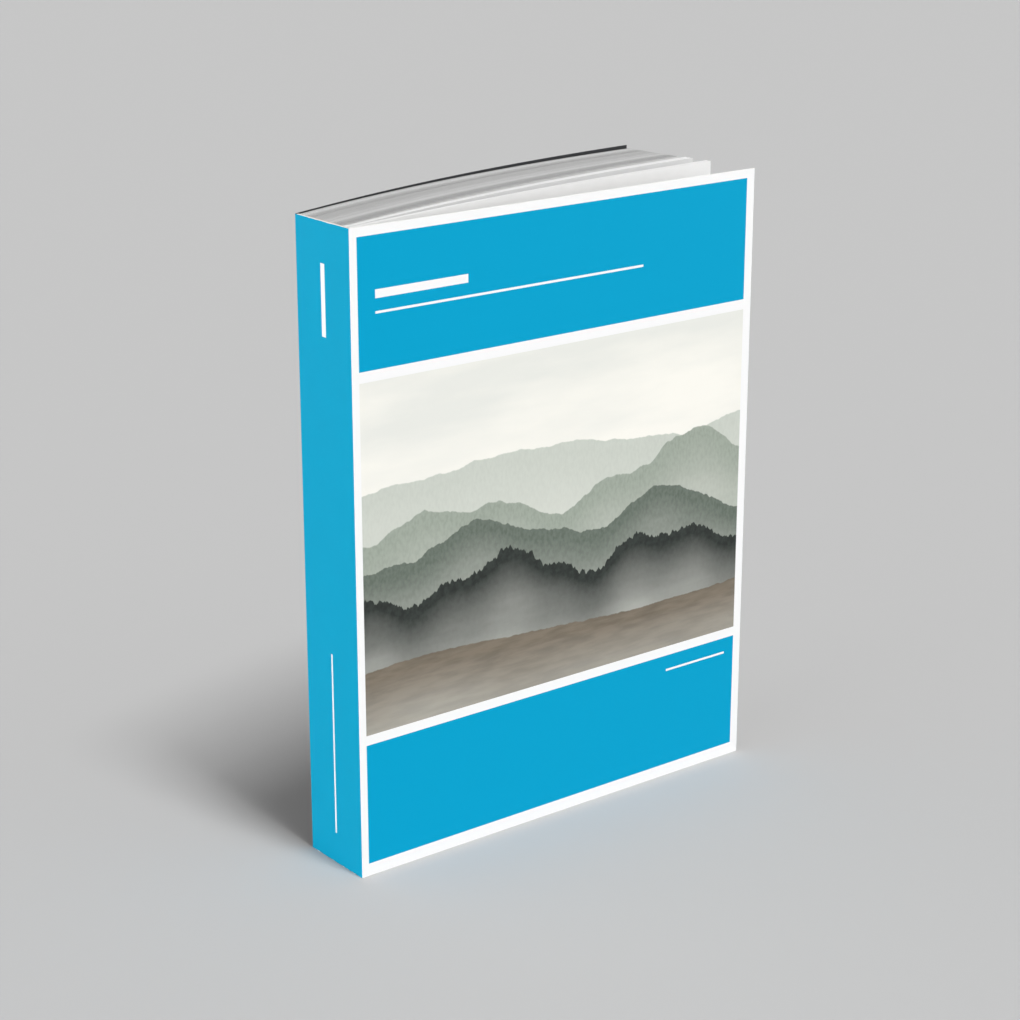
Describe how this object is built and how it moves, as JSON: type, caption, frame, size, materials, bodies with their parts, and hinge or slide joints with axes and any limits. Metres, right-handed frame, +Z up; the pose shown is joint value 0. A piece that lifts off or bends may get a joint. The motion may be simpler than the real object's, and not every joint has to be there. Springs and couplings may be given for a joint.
{
  "type": "softcover book",
  "caption": "Thick glued softcover book standing on its tail edge, with the front cover ajar and the leaves fanned back; both covers open on scored folds at the spine.",
  "frame": {"origin": "centre of the bounding box on the ground, under the standing book", "axes": "+X from the spine to the fore-edge, +Y from the front cover to the back cover, +Z up along the spine"},
  "size_m": [0.216, 0.081, 0.279],
  "materials": {
    "front_card": "satin laminated card, white margins around printed blue bands and a picture",
    "spine_card": "satin laminated card printed plain blue",
    "back_card": "satin laminated card printed plain charcoal",
    "lining": "pale glue and lining paper",
    "paper": "uncoated white paper, edges trimmed"
  },
  "bodies": {
    "block": {"spine": "spine_card", "spine_lining": "lining", "leaf_margins": "paper", "section_01": "paper", "section_02": "paper", "section_03": "paper", "section_04": "paper", "section_05": "paper", "section_06": "paper", "section_07": "paper", "section_08": "paper", "section_09": "paper", "section_10": "paper", "section_11": "paper", "section_12": "paper", "section_13": "paper", "section_14": "paper"},
    "front_cover": {"front_cover": "front_card"},
    "back_cover": {"back_cover": "back_card"},
    "leaf_pack_1": {"leaf_pack_1": "paper"},
    "leaf_pack_2": {"leaf_pack_2": "paper"},
    "leaf_pack_3": {"leaf_pack_3": "paper"},
    "leaf_pack_4": {"leaf_pack_4": "paper"},
    "leaf_pack_5": {"leaf_pack_5": "paper"}
  },
  "joints": [
    {"name": "front_cover_fold", "type": "hinge", "parent": "block", "child": "front_cover", "pos_m": [-0.108, -0.04046, 0.1395], "axis": [0, 0, -1], "range_deg": [-10, 175]},
    {"name": "back_cover_fold", "type": "hinge", "parent": "block", "child": "back_cover", "pos_m": [-0.108, -0.00246, 0.1395], "axis": [0, 0, 1], "range_deg": [0, 150]},
    {"name": "leaf_pack_1_turn", "type": "hinge", "parent": "block", "child": "leaf_pack_1", "pos_m": [-0.1052, -0.03886, 0.1395], "axis": [0, 0, -1], "range_deg": [-4, 64]},
    {"name": "leaf_pack_2_turn", "type": "hinge", "parent": "block", "child": "leaf_pack_2", "pos_m": [-0.1046, -0.03786, 0.1395], "axis": [0, 0, -1], "range_deg": [-4, 60]},
    {"name": "leaf_pack_3_turn", "type": "hinge", "parent": "block", "child": "leaf_pack_3", "pos_m": [-0.104, -0.03686, 0.1395], "axis": [0, 0, -1], "range_deg": [-4, 27]},
    {"name": "leaf_pack_4_turn", "type": "hinge", "parent": "block", "child": "leaf_pack_4", "pos_m": [-0.1034, -0.03586, 0.1395], "axis": [0, 0, -1], "range_deg": [-4, 24]},
    {"name": "leaf_pack_5_turn", "type": "hinge", "parent": "block", "child": "leaf_pack_5", "pos_m": [-0.1028, -0.03486, 0.1395], "axis": [0, 0, -1], "range_deg": [-4, 20]}
  ],
  "couplings": [
    {"joint": "leaf_pack_1_turn", "follows": "front_cover_fold", "ratio": 0.358},
    {"joint": "leaf_pack_2_turn", "follows": "front_cover_fold", "ratio": 0.338},
    {"joint": "leaf_pack_3_turn", "follows": "front_cover_fold", "ratio": 0.15},
    {"joint": "leaf_pack_4_turn", "follows": "front_cover_fold", "ratio": 0.13},
    {"joint": "leaf_pack_5_turn", "follows": "front_cover_fold", "ratio": 0.11}
  ]
}
